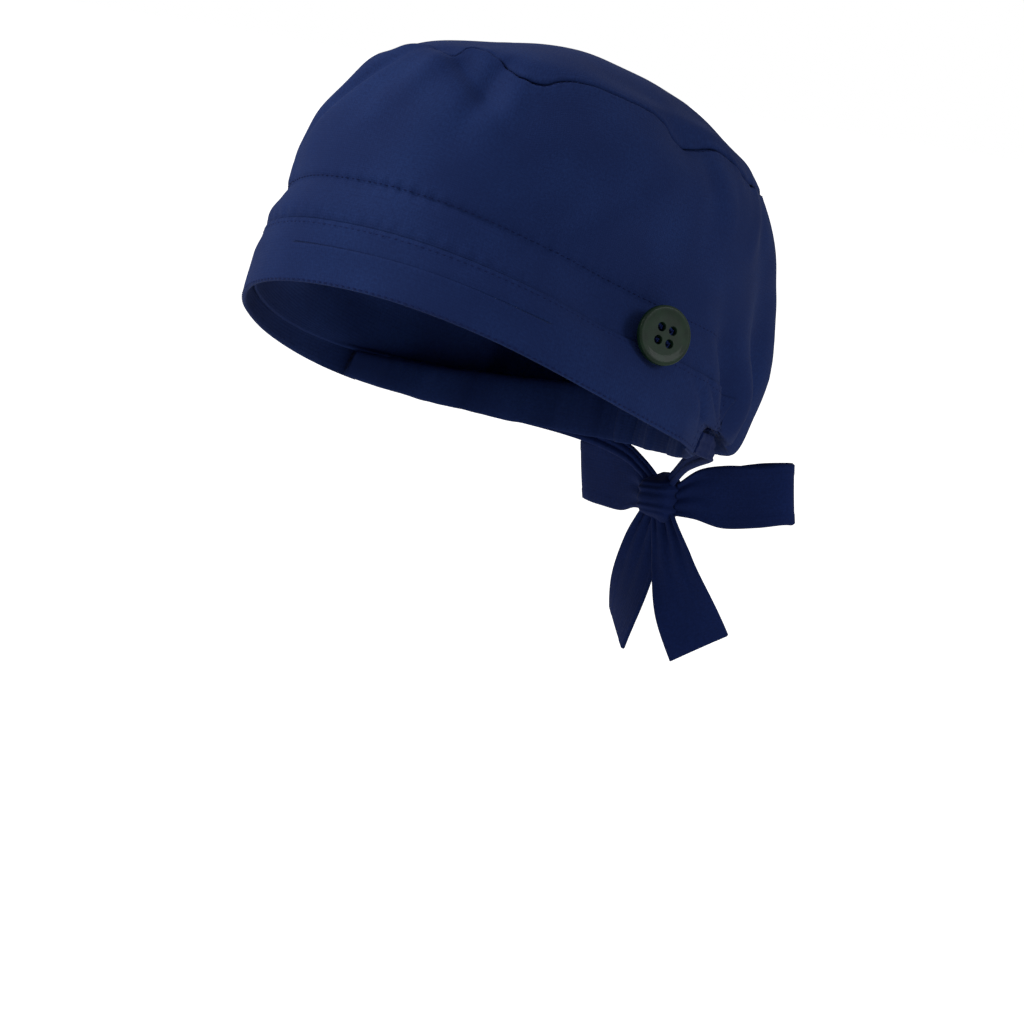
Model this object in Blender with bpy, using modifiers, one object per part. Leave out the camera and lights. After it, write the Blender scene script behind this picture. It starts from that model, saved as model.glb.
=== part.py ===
"""A tie-back scrub cap, worn form: a round top panel, a full side panel, a front band,
a gathered casing at the nape, two ties with a bow, and a button on each side.

Metres, +Z up. The origin is the middle of the head opening at ear height.
+X is the wearer's left, -Y the forehead, +Y the nape.
Angles run round the head: 0 at the forehead, 90 at the wearer's left ear, 180 at the nape.
Levels run up the cap and number the rows of the sections table.
"""

import math

import bmesh
import bpy
import numpy as np
from mathutils import Matrix, Vector

# Driving sizes
HALF_WIDTH = 0.086
HALF_LENGTH = 0.096
CROWN_HEIGHT = 0.138
CLOTH_THICKNESS = 0.0013
BAND_THICKNESS = 0.0018
CASING_THICKNESS = 0.0024
GATHER_DEPTH = 0.0016
TIE_WIDTH = 0.0255
TIE_THICKNESS = 0.0014
TIE_CLEARANCE = 0.0030
TIE_DROP = 0.0170
KNOT_WIDTH = 0.0170
KNOT_DEPTH = 0.0130
KNOT_HEIGHT = 0.0180
KNOT_DROP = 0.0193
LOOP_LENGTH = 0.0540
TAIL_LENGTH = 0.0660
BUTTON_DIAMETER = 0.0223
BUTTON_THICKNESS = 0.0030
BUTTON_ROUNDING = 0.0007
HOLE_DIAMETER = 0.0033
HOLE_SPACING = 0.0050
THREAD_DIAMETER = 0.0018
SHANK_DIAMETER = 0.0085
BUTTON_STANDOFF = 0.0060

# Clearances between pieces that touch
CASING_SEAM_GAP = 0.0009
TOP_SEAM_GAP = 0.0012
LAYER_GAP = 0.0003
TIE_END_GAP = 0.0009

# Shares: of the tie's width, of its run, and of the button
TIE_WIDTH_AT_BAND = 0.32
TIE_WIDTH_AT_KNOT = 0.40
TIE_RUN_SEWN = 0.35
TIE_DROP_POWER = 4
TIE_RUN_SETTLING = 0.28
TIE_SEAM_LEVELS = (0.05, 0.80)
KNOT_ROUNDING = 0.3
RIGHT_LOOP_DROOP = 0.17
RIGHT_TAIL_SETBACK = 0.035
THREAD_REACH = 0.75
FOOT_SINK = 0.45

# Angles in degrees, and counts
BAND_END_ANGLE = 108.0
KNOT_ANGLE = 166.5
BUTTON_ANGLE = 77.0
BUTTON_LEVEL = 3.40
BUTTON_TILT = 13.0
BUTTON_RISE = 9.0
BUTTON_TURN = 15.0
GATHER_COUNT = 20
GATHER_START_ANGLE = 12.0
GATHER_LEVEL = 1.2
GATHER_LEVELS = 1.3
COLUMNS = 80
CASING_TUCK_COLUMNS = 1

# Sections of the crown, from the rim to the top of the head.
# Half width is a share of HALF_WIDTH. Front, back and the widest place are shares of HALF_LENGTH.
# The three heights are shares of CROWN_HEIGHT. Fullness is 1 for an ellipse, less for a flatter back.
SECTION_COLUMNS = ("half_width", "front", "back", "widest", "front_up", "side_up", "back_up", "fullness")
SECTIONS = {
    "rim":      (1.000, 1.00, 0.98,  0.06, 0.330, 0.030, -0.090, 0.74),
    "gather":   (0.995, 1.00, 1.04,  0.09, 0.380, 0.095,  0.050, 0.80),
    "overhang": (0.980, 1.00, 1.16,  0.15, 0.440, 0.125, -0.100, 0.95),
    "band_top": (0.960, 1.00, 1.26,  0.22, 0.500, 0.200,  0.030, 1.00),
    "tuck":     (0.915, 0.96, 1.41,  0.28, 0.610, 0.310,  0.170, 1.00),
    "belly":    (0.920, 0.92, 1.40,  0.31, 0.720, 0.480,  0.300, 1.00),
    "shoulder": (0.890, 0.84, 1.30,  0.37, 0.860, 0.660,  0.460, 1.00),
    "seam":     (0.750, 0.71, 1.22,  0.44, 0.980, 0.800,  0.610, 1.00),
    "puff":     (0.650, 0.54, 1.10,  0.44, 1.000, 0.855,  0.680, 1.00),
    "dome":     (0.450, 0.12, 0.88,  0.42, 1.000, 0.920,  0.780, 1.00),
    "apex":     (0.000, -0.36, 0.36, 0.36, 0.968, 0.968,  0.968, 1.00),
}
FRONT_FULLNESS = 1.15
LEVEL = {name: float(number) for number, name in enumerate(SECTIONS)}
TOP_LEVEL = float(len(SECTIONS) - 1)

# Dents and ridges pressed into the crown along its normal.
# Places and half widths are in degrees and levels, lean in degrees a level.
# Depth is a share of CROWN_HEIGHT, and a negative depth is a ridge.
FOLD_COLUMNS = ("angle", "level", "half_angle", "half_levels", "lean", "depth")
FOLDS = {
    "front_right_hollow": (-44, 7.2, 26, 1.50,   0,  0.070),
    "front_right_valley": (-38, 6.6,  6, 0.80,  18,  0.024),
    "front_ridge":        (  4, 6.7,  8, 0.80, -20, -0.012),
    "front_left_valley":  ( 17, 6.7,  6, 0.70, -16,  0.030),
    "side_seam_dip":      ( 80, 7.0,  7, 0.50,   0,  0.018),
    "top_left_ridge":     ( 42, 8.0, 22, 0.80,   0, -0.014),
    "front_fullness":     (-45, 3.4, 45, 0.35,   0, -0.018),
    "tuck_line":          (  0, 4.0, 95, 0.12,   0,  0.007),
    "button_dent":        ( 64, 3.4, 11, 0.90,   0,  0.030),
    "button_swell":       ( 91, 3.4, 12, 0.90,   0, -0.020),
    "button_dent_right":  (-64, 3.4, 11, 0.90,   0,  0.022),
    "button_swell_right": (-91, 3.4, 12, 0.90,   0, -0.016),
    "nape_valley_left":   (118, 4.0,  6, 1.50,  -4,  0.034),
    "nape_ridge_left":    (131, 3.6,  6, 1.40,  -4, -0.020),
    "nape_valley_right":  (-121, 3.7, 7, 1.40,   5,  0.030),
    "nape_ridge_right":   (-136, 3.8, 6, 1.30,   3, -0.018),
    "nape_valley_back":   (163, 3.4,  7, 1.20,   2,  0.024),
}

# Where the grid rows of the panels lie, in levels
SIDE_LEVELS = (1.0, 1.25, 1.5, 1.75, 2.0, 2.5, 3.0, 3.4, 3.75, 4.0, 4.3, 4.7, 5.3, 5.9, 6.5, 7.0)
TOP_LEVELS = (7.0, 7.5, 8.1, 8.8, 9.45, 10.0)
BAND_LEVELS = (0.0, 0.5, 1.0, 1.25, 1.5, 1.75, 2.0, 2.5, 3.0)
CASING_LEVELS = (0.0, 0.35, 0.7, 1.0)

# Colour, roughness and metallic value of each material
FINISHES = {
    "navy_cloth": ((0.0103, 0.0194, 0.0648), 0.86, 0.0),
    "navy_tie_cloth": ((0.0056, 0.0110, 0.0395), 0.86, 0.0),
    "green_button": ((0.0180, 0.0320, 0.0200), 0.45, 0.0),
    "navy_thread": ((0.0080, 0.0140, 0.0450), 0.80, 0.0),
}


def clear_scene():
    """Removes whatever the file opened with."""
    for item in list(bpy.data.objects):
        bpy.data.objects.remove(item, do_unlink=True)


def collection_named(name):
    """A collection under the scene's own."""
    collection = bpy.data.collections.new(name)
    bpy.context.scene.collection.children.link(collection)
    return collection


def finish_named(name):
    """A Principled material with the piece's colour, roughness and metallic value."""
    if name in bpy.data.materials:
        return bpy.data.materials[name]
    colour, roughness, metallic = FINISHES[name]
    material = bpy.data.materials.new(name)
    material.use_nodes = True
    shader = material.node_tree.nodes["Principled BSDF"]
    shader.inputs["Base Color"].default_value = (*colour, 1.0)
    shader.inputs["Roughness"].default_value = roughness
    shader.inputs["Metallic"].default_value = metallic
    return material


def smooth_step(value):
    """0 below 0, 1 above 1, and an S-shaped rise between."""
    value = np.clip(value, 0.0, 1.0)
    return value * value * (3.0 - 2.0 * value)


def through_rows(table, place):
    """A smooth curve through the rows of a table, read at each place: 0 is the first row, 1 the second."""
    last = len(table) - 1
    place = np.clip(place, 0.0, last)
    first = np.minimum(place.astype(int), last - 1)
    share = (place - first)[..., None]
    before = table[np.maximum(first - 1, 0)]
    low = table[first]
    high = table[first + 1]
    after = table[np.minimum(first + 2, last)]
    return (
        low * (2 * share**3 - 3 * share**2 + 1)
        + (high - before) / 2 * (share**3 - 2 * share**2 + share)
        + high * (3 * share**2 - 2 * share**3)
        + (after - low) / 2 * (share**3 - share**2)
    )


def smooth_crown(angle, level):
    """The crown's surface without folds: each level is an oval whose front and back differ."""
    angle, level = np.broadcast_arrays(np.asarray(angle, float), np.asarray(level, float))
    scale = {"half_width": HALF_WIDTH, "front": HALF_LENGTH, "back": HALF_LENGTH, "widest": HALF_LENGTH,
             "front_up": CROWN_HEIGHT, "side_up": CROWN_HEIGHT, "back_up": CROWN_HEIGHT, "fullness": 1.0}
    table = np.array(list(SECTIONS.values())) * [scale[column] for column in SECTION_COLUMNS]
    columns = np.moveaxis(through_rows(table, level), -1, 0)
    half, front, back, widest, front_up, side_up, back_up, fullness = columns
    along = np.cos(np.radians(angle))
    across = np.sin(np.radians(angle))
    power = np.where(along > 0, 1 / FRONT_FULLNESS, 1 / fullness)
    along = np.sign(along) * np.abs(along) ** power
    across = np.sign(across) * np.abs(across) ** power
    x = half * across
    y = widest - np.where(along > 0, widest + front, back - widest) * along
    z = side_up + (front_up - back_up) / 2 * along + ((front_up + back_up) / 2 - side_up) * along**2
    return np.stack([x, y, z], -1)


def outward(form, angle, level):
    """The unit normal of a surface given as a function of angle and level."""
    angle_step = 0.5
    level_step = 0.03
    round_it = form(angle + angle_step, level) - form(angle - angle_step, level)
    above = np.minimum(level + level_step, TOP_LEVEL)
    below = np.maximum(level - level_step, 0.0)
    up_it = form(angle, above) - form(angle, below)
    normal = np.cross(round_it, up_it)
    size = np.linalg.norm(normal, axis=-1, keepdims=True)
    flat = size < 1e-10
    return np.where(flat, (0.0, 0.0, 1.0), normal / np.where(flat, 1.0, size))


def fold_depth(angle, level):
    """How far the folds press the crown in at a place."""
    depth = np.zeros(np.broadcast(angle, level).shape)
    for row in FOLDS.values():
        fold = dict(zip(FOLD_COLUMNS, row))
        rise = level - fold["level"]
        turn = (angle - fold["angle"] - fold["lean"] * rise + 180.0) % 360.0 - 180.0
        spread = (turn / fold["half_angle"]) ** 2 + (rise / fold["half_levels"]) ** 2
        depth = depth + fold["depth"] * CROWN_HEIGHT * np.exp(-spread)
    return depth


def gather_depth(angle, level):
    """How far the gathers at the nape move the cloth towards the head or away from it."""
    from_front = np.abs((angle + 180.0) % 360.0 - 180.0)
    behind = smooth_step((from_front - BAND_END_ANGLE) / GATHER_START_ANGLE)
    fade = np.exp(-(((level - GATHER_LEVEL) / GATHER_LEVELS) ** 2))
    return GATHER_DEPTH * behind * fade * np.cos(np.radians(angle) * GATHER_COUNT)


def crown(angle, level):
    """The outer face of the crown, with its folds along its normal and its gathers level."""
    angle, level = np.broadcast_arrays(np.asarray(angle, float), np.asarray(level, float))
    smooth = smooth_crown(angle, level)
    level_out = smooth * (1.0, 1.0, 0.0)
    level_out = level_out / np.maximum(np.linalg.norm(level_out, axis=-1, keepdims=True), LAYER_GAP)
    inward = -outward(smooth_crown, angle, level)
    folds = inward * fold_depth(angle, level)[..., None]
    gathers = -level_out * gather_depth(angle, level)[..., None]
    return smooth + folds + gathers


def crown_offset(angle, level, distance):
    """A surface that follows the crown at a distance outside it."""
    angle, level = np.broadcast_arrays(np.asarray(angle, float), np.asarray(level, float))
    return crown(angle, level) + outward(crown, angle, level) * distance


def sheet_object(name, grid, finish, thickness, offset, closed_round=False, pole=False):
    """A cloth piece: a grid of points as one surface, thickened by Solidify.

    An offset of -1 puts the wall inside the surface, 0 on both sides and 1 outside.
    """
    rows, columns = grid.shape[:2]
    grid_rows = rows - 1 if pole else rows
    points = [tuple(point) for point in grid[:grid_rows].reshape(-1, 3)]
    faces = []
    spans = columns if closed_round else columns - 1
    for row in range(grid_rows - 1):
        for column in range(spans):
            beside = (column + 1) % columns
            low, high = row * columns, (row + 1) * columns
            faces.append((low + column, low + beside, high + beside, high + column))
    if pole:
        points.append(tuple(grid[-1].mean(axis=0)))
        top = len(points) - 1
        low = (grid_rows - 1) * columns
        faces += [(low + column, low + (column + 1) % columns, top) for column in range(spans)]
    mesh = bpy.data.meshes.new(name)
    mesh.from_pydata(points, [], faces)
    mesh.shade_smooth()
    piece = bpy.data.objects.new(name, mesh)
    piece.data.materials.append(finish_named(finish))
    parts.objects.link(piece)
    wall = piece.modifiers.new("wall", "SOLIDIFY")
    wall.thickness = thickness
    wall.offset = offset
    wall.use_quality_normals = True
    return piece


def grid_on(form, angles, levels):
    """The points of a surface on a grid, one row for each level."""
    angle, level = np.meshgrid(angles, levels)
    return form(angle, level)


def half_gap(gap):
    """Half the gap between two panels, in levels."""
    mean_rise = CROWN_HEIGHT / TOP_LEVEL
    return 0.5 * gap / mean_rise


def crown_side():
    """The side panel, from the nape casing and behind the band up to the seam."""
    angles = np.arange(COLUMNS) * 360.0 / COLUMNS - 180.0
    levels = np.array(SIDE_LEVELS)
    levels[0] += half_gap(CASING_SEAM_GAP)
    levels[-1] -= half_gap(TOP_SEAM_GAP)
    grid = grid_on(crown, angles, levels)
    sheet_object("crown_side", grid, "navy_cloth", CLOTH_THICKNESS, -1, closed_round=True)


def crown_top():
    """The egg-shaped top panel, closed at one point."""
    angles = np.arange(COLUMNS) * 360.0 / COLUMNS - 180.0
    levels = np.array(TOP_LEVELS)
    levels[0] += half_gap(TOP_SEAM_GAP)
    grid = grid_on(crown, angles, levels)
    sheet_object("crown_top", grid, "navy_cloth", CLOTH_THICKNESS, -1, closed_round=True, pole=True)


def band():
    """The front band: a doubled strip outside the side panel, from behind one ear to behind the other."""
    step = 360.0 / COLUMNS
    reach = math.floor(BAND_END_ANGLE / step - 0.2)
    inner = np.arange(-reach, reach + 1) * step
    angles = np.concatenate([[-BAND_END_ANGLE], inner, [BAND_END_ANGLE]])
    angle, level = np.meshgrid(angles, BAND_LEVELS)
    grid = crown_offset(angle, level, LAYER_GAP)
    sheet_object("band", grid, "navy_cloth", BAND_THICKNESS, 1)


def nape_casing():
    """The gathered elastic casing across the nape, its ends tucked behind the band's ends."""
    step = 360.0 / COLUMNS
    first = round(BAND_END_ANGLE / step) - CASING_TUCK_COLUMNS
    angles = np.arange(first, COLUMNS - first + 1) * step
    levels = np.array(CASING_LEVELS)
    levels[-1] -= half_gap(CASING_SEAM_GAP)
    grid = grid_on(crown, angles, levels)
    sheet_object("nape_casing", grid, "navy_cloth", CASING_THICKNESS, -1)


def knot_centre():
    """The knot sits outside the casing, under the crown's overhang."""
    seat = crown(KNOT_ANGLE, LEVEL["gather"])
    rim = smooth_crown(KNOT_ANGLE, LEVEL["rim"])
    direction = np.array([seat[0], seat[1], 0.0]) / math.hypot(seat[0], seat[1])
    centre = seat + direction * (KNOT_DEPTH / 2 + LAYER_GAP)
    centre[2] = rim[2] - KNOT_DROP
    return centre


def mirrored(points, side):
    """A copy for the wearer's right when side is -1."""
    return points * np.array([side, 1.0, 1.0])


def nape_line(angle):
    """Where a tie runs round the nape: level with the gathers, clear of the casing."""
    gather = smooth_crown(angle, LEVEL["gather"])
    away = outward(smooth_crown, angle, np.full(angle.shape, LEVEL["rim"])) * (1.0, 1.0, 0.0)
    return gather + away / np.linalg.norm(away, axis=-1, keepdims=True) * TIE_CLEARANCE


def strap(side):
    """One tie from the band's end to the knot: a strip that leaves the band and drops to the nape."""
    centre = knot_centre()
    start_angle = BAND_END_ANGLE + math.degrees(TIE_END_GAP / HALF_WIDTH)
    trial = np.linspace(200.0, start_angle, 200)
    end_x = side * centre[0] + KNOT_WIDTH / 2 + TIE_END_GAP
    end_angle = np.interp(end_x, nape_line(trial)[:, 0], trial)
    share = np.linspace(0.0, 1.0, 13)
    angle = start_angle + (end_angle - start_angle) * share

    width = TIE_WIDTH * (TIE_WIDTH_AT_BAND + (TIE_WIDTH_AT_KNOT - TIE_WIDTH_AT_BAND) * share**2)
    low = nape_line(angle)
    low[:, 2] = smooth_crown(angle, LEVEL["rim"])[:, 2] - TIE_DROP * share**TIE_DROP_POWER
    settle = smooth_step((share - 1.0 + TIE_RUN_SETTLING) / TIE_RUN_SETTLING)[:, None]
    low = low + settle * (0.0, centre[1] - low[-1, 1], 0.0)
    high = low + width[:, None] * (0.0, 0.0, 1.0)

    skin = LAYER_GAP + BAND_THICKNESS / 2
    sewn = [mirrored(crown_offset(side * angle, level, skin), side) for level in TIE_SEAM_LEVELS]
    free = smooth_step(share / TIE_RUN_SEWN)[:, None]
    low = sewn[0] + (low - sewn[0]) * free
    high = sewn[1] + (high - sewn[1]) * free
    grid = np.stack([low, (low + high) / 2, high])
    name = "tie_left" if side > 0 else "tie_right"
    sheet_object(name, mirrored(grid, side)[:, ::side], "navy_tie_cloth", TIE_THICKNESS, 0)


def ribbon(name, stations, reach, across, side, droop=0.0, setback=0.0):
    """A strip through its stations.

    A station holds the middle (x, y, z as shares of reach, from the knot's centre), the strip's width
    as a share of TIE_WIDTH, and two angles: turn swings the width about the vertical, lean tips it over.
    Droop lowers the strip by a share that grows with its distance to the side. Setback moves it away
    from the nape.
    """
    rows = np.array(stations, float)
    place = np.linspace(0.0, len(rows) - 1.0, across)
    read = dict(zip(STATION_COLUMNS, through_rows(rows, place).T))
    height = read["z"] - droop * read["x"] ** 2
    middle = np.stack([read["x"], read["y"] + setback, height], -1) * reach
    turn = np.radians(read["turn"])
    lean = np.radians(read["lean"])
    upright = np.stack([np.sin(lean) * np.cos(turn), np.sin(lean) * np.sin(turn), np.cos(lean)], -1)
    half = upright * (read["width"] * TIE_WIDTH / 2)[:, None]
    grid = np.stack([middle - half, middle, middle + half])
    grid = mirrored(grid, side)[:, ::side] + knot_centre()
    sheet_object(name, grid, "navy_tie_cloth", TIE_THICKNESS, 0)


# Stations of a bow loop and of a tail, for the wearer's left.
# Middle as shares of LOOP_LENGTH or TAIL_LENGTH, width as a share of TIE_WIDTH, turn and lean in degrees.
STATION_COLUMNS = ("x", "y", "z", "width", "turn", "lean")
LOOP_STATIONS = (
    (0.172, 0.03, 0.015, 0.52, -90,  2),
    (0.27,  0.08, 0.070, 0.78, -90,  6),
    (0.46,  0.14, 0.085, 1.00, -90, 10),
    (0.70,  0.20, 0.130, 1.00, -90, 13),
    (0.87,  0.25, 0.175, 1.00, -90, 16),
    (0.92,  0.32, 0.185, 1.00, -90, 16),
    (0.86,  0.38, 0.180, 1.00, -90, 14),
    (0.60,  0.34, 0.125, 1.00, -90, 10),
    (0.35,  0.22, 0.075, 0.80, -90,  6),
    (0.172, 0.10, 0.015, 0.48, -90,  2),
)
TAIL_STATIONS = (
    (0.080, 0.00, -0.145, 0.50,  3, 88),
    (0.105, 0.02, -0.25,  0.62,  3, 80),
    (0.145, 0.04, -0.40,  0.78,  5, 71),
    (0.225, 0.10, -0.63,  0.96, 20, 64),
    (0.320, 0.18, -0.86,  1.00, 35, 57),
)


def bow():
    """The knot, two loops and two tails."""
    centre = knot_centre()
    mesh = bpy.data.meshes.new("bow_knot")
    shape = bmesh.new()
    bmesh.ops.create_cube(shape, size=1.0)
    bmesh.ops.scale(shape, vec=(KNOT_WIDTH, KNOT_DEPTH, KNOT_HEIGHT), verts=shape.verts)
    shape.to_mesh(mesh)
    shape.free()
    mesh.shade_smooth()
    knot = bpy.data.objects.new("bow_knot", mesh)
    knot.data.materials.append(finish_named("navy_tie_cloth"))
    knot.location = Vector(centre)
    parts.objects.link(knot)
    rounding = knot.modifiers.new("rounding", "BEVEL")
    rounding.width = KNOT_ROUNDING * KNOT_DEPTH
    rounding.segments = 2
    ribbon("bow_loop_left", LOOP_STATIONS, LOOP_LENGTH, 19, 1)
    ribbon("bow_loop_right", LOOP_STATIONS, LOOP_LENGTH, 19, -1, droop=RIGHT_LOOP_DROOP)
    ribbon("bow_tail_left", TAIL_STATIONS, TAIL_LENGTH, 9, 1)
    ribbon("bow_tail_right", TAIL_STATIONS, TAIL_LENGTH, 9, -1, setback=RIGHT_TAIL_SETBACK)


def button_frame(side):
    """Where a button sits: its seat on the cloth, its own axes, the way it faces and its tilt.

    The button hangs on its thread, tipped from the cloth's normal towards the forehead.
    """
    angle = np.array(side * BUTTON_ANGLE)
    level = np.array(BUTTON_LEVEL)
    seat = Vector(crown(angle, level))
    normal = outward(crown, angle, level)
    heading = math.atan2(normal[1], side * normal[0]) - math.radians(BUTTON_TILT)
    level_facing = Vector((side * math.cos(heading), math.sin(heading), 0.0))
    rise = math.radians(BUTTON_RISE)
    facing = level_facing * math.cos(rise) + Vector((0.0, 0.0, math.sin(rise)))
    across = Vector((0.0, 0.0, 1.0)).cross(facing).normalized()
    up = facing.cross(across)
    axes = Matrix((across, up, facing)).transposed()
    return seat, axes, facing, facing.angle(Vector(normal))


def cylinder_mesh(name, diameter, depth, sides, places=((0.0, 0.0),)):
    """One or more upright cylinders in one mesh, each centred on its place."""
    mesh = bpy.data.meshes.new(name)
    shape = bmesh.new()
    for x, y in places:
        place = Matrix.Translation((x, y, 0.0))
        bmesh.ops.create_cone(shape, cap_ends=True, segments=sides, radius1=diameter / 2,
                              radius2=diameter / 2, depth=depth, matrix=place)
    shape.to_mesh(mesh)
    shape.free()
    mesh.shade_smooth()
    return mesh


def placed(name, mesh, finish, place, axes, collection):
    """An object with its own axes, at a place."""
    item = bpy.data.objects.new(name, mesh)
    item.data.materials.append(finish_named(finish))
    item.matrix_world = Matrix.Translation(place) @ axes.to_4x4()
    collection.objects.link(item)
    return item


def as_tool(item):
    """Hides a cutter or a joined tool from the render."""
    item.hide_render = True
    item.display_type = "WIRE"
    return item


def combine(target, tool, operation):
    """A Boolean of two closed meshes with the exact solver."""
    step = target.modifiers.new(tool.name, "BOOLEAN")
    step.operation = operation
    step.object = tool
    step.solver = "EXACT"


def hole_places():
    """The four holes, on a square turned a little."""
    turn = math.radians(45.0 - BUTTON_TURN)
    radius = HOLE_SPACING / math.sqrt(2.0)
    angles = [turn + k * math.pi / 2 for k in range(4)]
    return [(radius * math.cos(angle), radius * math.sin(angle)) for angle in angles]


def button(side):
    """A four-hole button and the thread that holds it off the cloth."""
    word = "left" if side > 0 else "right"
    seat, axes, facing, tilt = button_frame(side)
    back_face = seat + facing * BUTTON_STANDOFF
    middle = back_face + facing * (BUTTON_THICKNESS / 2)

    disc = placed(f"button_{word}", cylinder_mesh("button", BUTTON_DIAMETER, BUTTON_THICKNESS, 30),
                  "green_button", middle, axes, parts)
    rounding = disc.modifiers.new("rounding", "BEVEL")
    rounding.width = BUTTON_ROUNDING
    rounding.segments = 2
    rounding.limit_method = "ANGLE"
    holes = cylinder_mesh("button_holes", HOLE_DIAMETER, BUTTON_THICKNESS * 2, 10, hole_places())
    cutter = as_tool(placed(f"button_holes_{word}", holes, "green_button", middle, axes, tools))
    combine(disc, cutter, "DIFFERENCE")

    foot = FOOT_SINK * SHANK_DIAMETER * math.tan(tilt) + LAYER_GAP
    shank_length = BUTTON_STANDOFF - foot - LAYER_GAP
    shank_middle = seat + facing * (foot + shank_length / 2)
    shank = placed(f"button_thread_{word}", cylinder_mesh("shank", SHANK_DIAMETER, shank_length, 16),
                   "navy_thread", shank_middle, axes, parts)
    post_length = LAYER_GAP + THREAD_REACH * BUTTON_THICKNESS + shank_length / 2
    posts = cylinder_mesh("thread_posts", THREAD_DIAMETER, post_length, 8, hole_places())
    post_middle = seat + facing * (foot + shank_length / 2 + post_length / 2)
    joined = as_tool(placed(f"thread_posts_{word}", posts, "navy_thread", post_middle, axes, tools))
    combine(shank, joined, "UNION")


clear_scene()
parts = collection_named("scrub_cap")
tools = collection_named("cutters")
crown_side()
crown_top()
band()
nape_casing()
strap(1)
strap(-1)
bow()
button(1)
button(-1)
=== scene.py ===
"""The looks of the scrub cap: cloth panels with folds, seams and stitches, ties, bow and buttons.

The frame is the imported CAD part: metres, +Z up, +X the wearer's left, -Y the forehead.
Angles run round the head: 0 at the forehead, 90 at the wearer's left ear, 180 at the nape.
Levels run up the cap and number the rows of the sections table, which is that of the CAD part.
"""

import math

import bmesh
import bpy
import numpy as np
from mathutils import Matrix, Vector


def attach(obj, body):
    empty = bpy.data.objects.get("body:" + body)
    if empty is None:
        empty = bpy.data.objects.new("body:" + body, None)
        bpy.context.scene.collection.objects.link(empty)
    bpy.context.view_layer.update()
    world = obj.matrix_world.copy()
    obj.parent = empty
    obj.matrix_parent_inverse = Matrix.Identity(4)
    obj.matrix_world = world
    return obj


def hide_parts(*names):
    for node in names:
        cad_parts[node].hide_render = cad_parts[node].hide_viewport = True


# Driving sizes in metres, degrees and shares. They are the CAD part's, but the thread shank and the ties
# near the knot are slimmer here
HALF_WIDTH = 0.086
HALF_LENGTH = 0.096
CROWN_HEIGHT = 0.138
CLOTH_THICKNESS = 0.0013
BAND_THICKNESS = 0.0018
CASING_THICKNESS = 0.0024
GATHER_DEPTH = 0.0016
TIE_WIDTH = 0.0255
TIE_THICKNESS = 0.0014
TIE_CLEARANCE = 0.0030
TIE_DROP = 0.0170
KNOT_WIDTH = 0.0170
KNOT_DEPTH = 0.0130
KNOT_HEIGHT = 0.0180
KNOT_DROP = 0.0193
LOOP_LENGTH = 0.0540
TAIL_LENGTH = 0.0660
BUTTON_DIAMETER = 0.0223
BUTTON_THICKNESS = 0.0030
BUTTON_STANDOFF = 0.0060
HOLE_DIAMETER = 0.0033
HOLE_SPACING = 0.0050
SHANK_DIAMETER = 0.0070
LAYER_GAP = 0.0003
TIE_END_GAP = 0.0009
TIE_WIDTH_AT_BAND = 0.32
TIE_WIDTH_AT_KNOT = 0.27
TIE_RUN_SEWN = 0.35
TIE_DROP_POWER = 4
TIE_RUN_SETTLING = 0.28
TIE_SEAM_LEVELS = (0.05, 0.80)
RIGHT_LOOP_DROOP = 0.17
RIGHT_TAIL_SETBACK = 0.035
BAND_END_ANGLE = 108.0
KNOT_ANGLE = 166.5
BUTTON_ANGLE = 77.0
BUTTON_LEVEL = 3.40
BUTTON_TILT = 13.0
BUTTON_RISE = 9.0
BUTTON_TURN = 15.0
GATHER_COUNT = 20
GATHER_START_ANGLE = 12.0
GATHER_LEVEL = 1.2
GATHER_LEVELS = 1.3
FRONT_FULLNESS = 1.15

# Stitches, in metres, and the rings of one: its place along the stitch, its size and its rise in radii
STITCH_PITCH = 0.0027
STITCH_LENGTH = 0.0021
STITCH_RADIUS = 0.00020
STITCH_SIDES = 6
STITCH_RINGS = (
    (-0.50, 0.15, -1.6),
    (-0.42, 0.70, -1.0),
    (-0.20, 1.00, -0.4),
    (0.00,  1.00, -0.1),
    (0.20,  1.00, -0.4),
    (0.42,  0.70, -1.0),
    (0.50,  0.15, -1.6),
)

# Relief that only the looks have, in metres, and the levels and angles that go with it
FINE_GATHER = 0.0004
FINEST_GATHER = 0.0003
NAPE_DRAPE = 0.0015
NAPE_DRAPE_LEVEL = 2.5
SLOW_BUMP = 0.00050
SLOW_BUMP_REACH = 0.060
FINE_BUMP = 0.00016
FINE_BUMP_REACH = 0.022
BUMP_WAVES = 14
TUCK_PUCKER = 0.00042
SEAM_PUCKER = 0.00034
BAND_TOP_PUCKER = 0.00022
BAND_PUCKER = 0.00012
BAND_ROLL = 0.0004
BAND_CLEARANCE = 0.0004
SEAM_GROOVE = 0.0013
TUCK_GROOVE = 0.0007
TIE_PLEAT = 0.0007
RIBBON_PLEAT = 0.0016
BAND_TOP_STITCH_LEVEL = 2.86
SEAM_GAP = 0.015
CASING_GAP = 0.004
CASING_START_ANGLE = 103.5
TIE_START_SHIFT = 0.4

# Grid columns round each piece, and rows across a ribbon
SIDE_COLUMNS = 380
TOP_COLUMNS = 300
BAND_COLUMNS = 460
CASING_COLUMNS = 420
TIE_COLUMNS = 150
LOOP_COLUMNS = 130
TAIL_COLUMNS = 90
RIBBON_ROWS = 36

# The height of cloth that one level takes, on average, in metres, and the least length that is divided by
LEVEL_RISE = 0.0138
TINY = 1e-12

# The button's rounded edge and dished face, and the thread of its shank, in metres
EDGE_ROLL = 0.0011
DISH_DEPTH = 0.00022
STRAND_RADIUS = 0.00036
STRAND_SHIFTS = ((0.0004, 0.0002), (-0.0004, 0.0003), (0.0001, -0.0005))
STRAND_SIDES = 8
COIL_TURNS = 7
COIL_STEPS = 14

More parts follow.
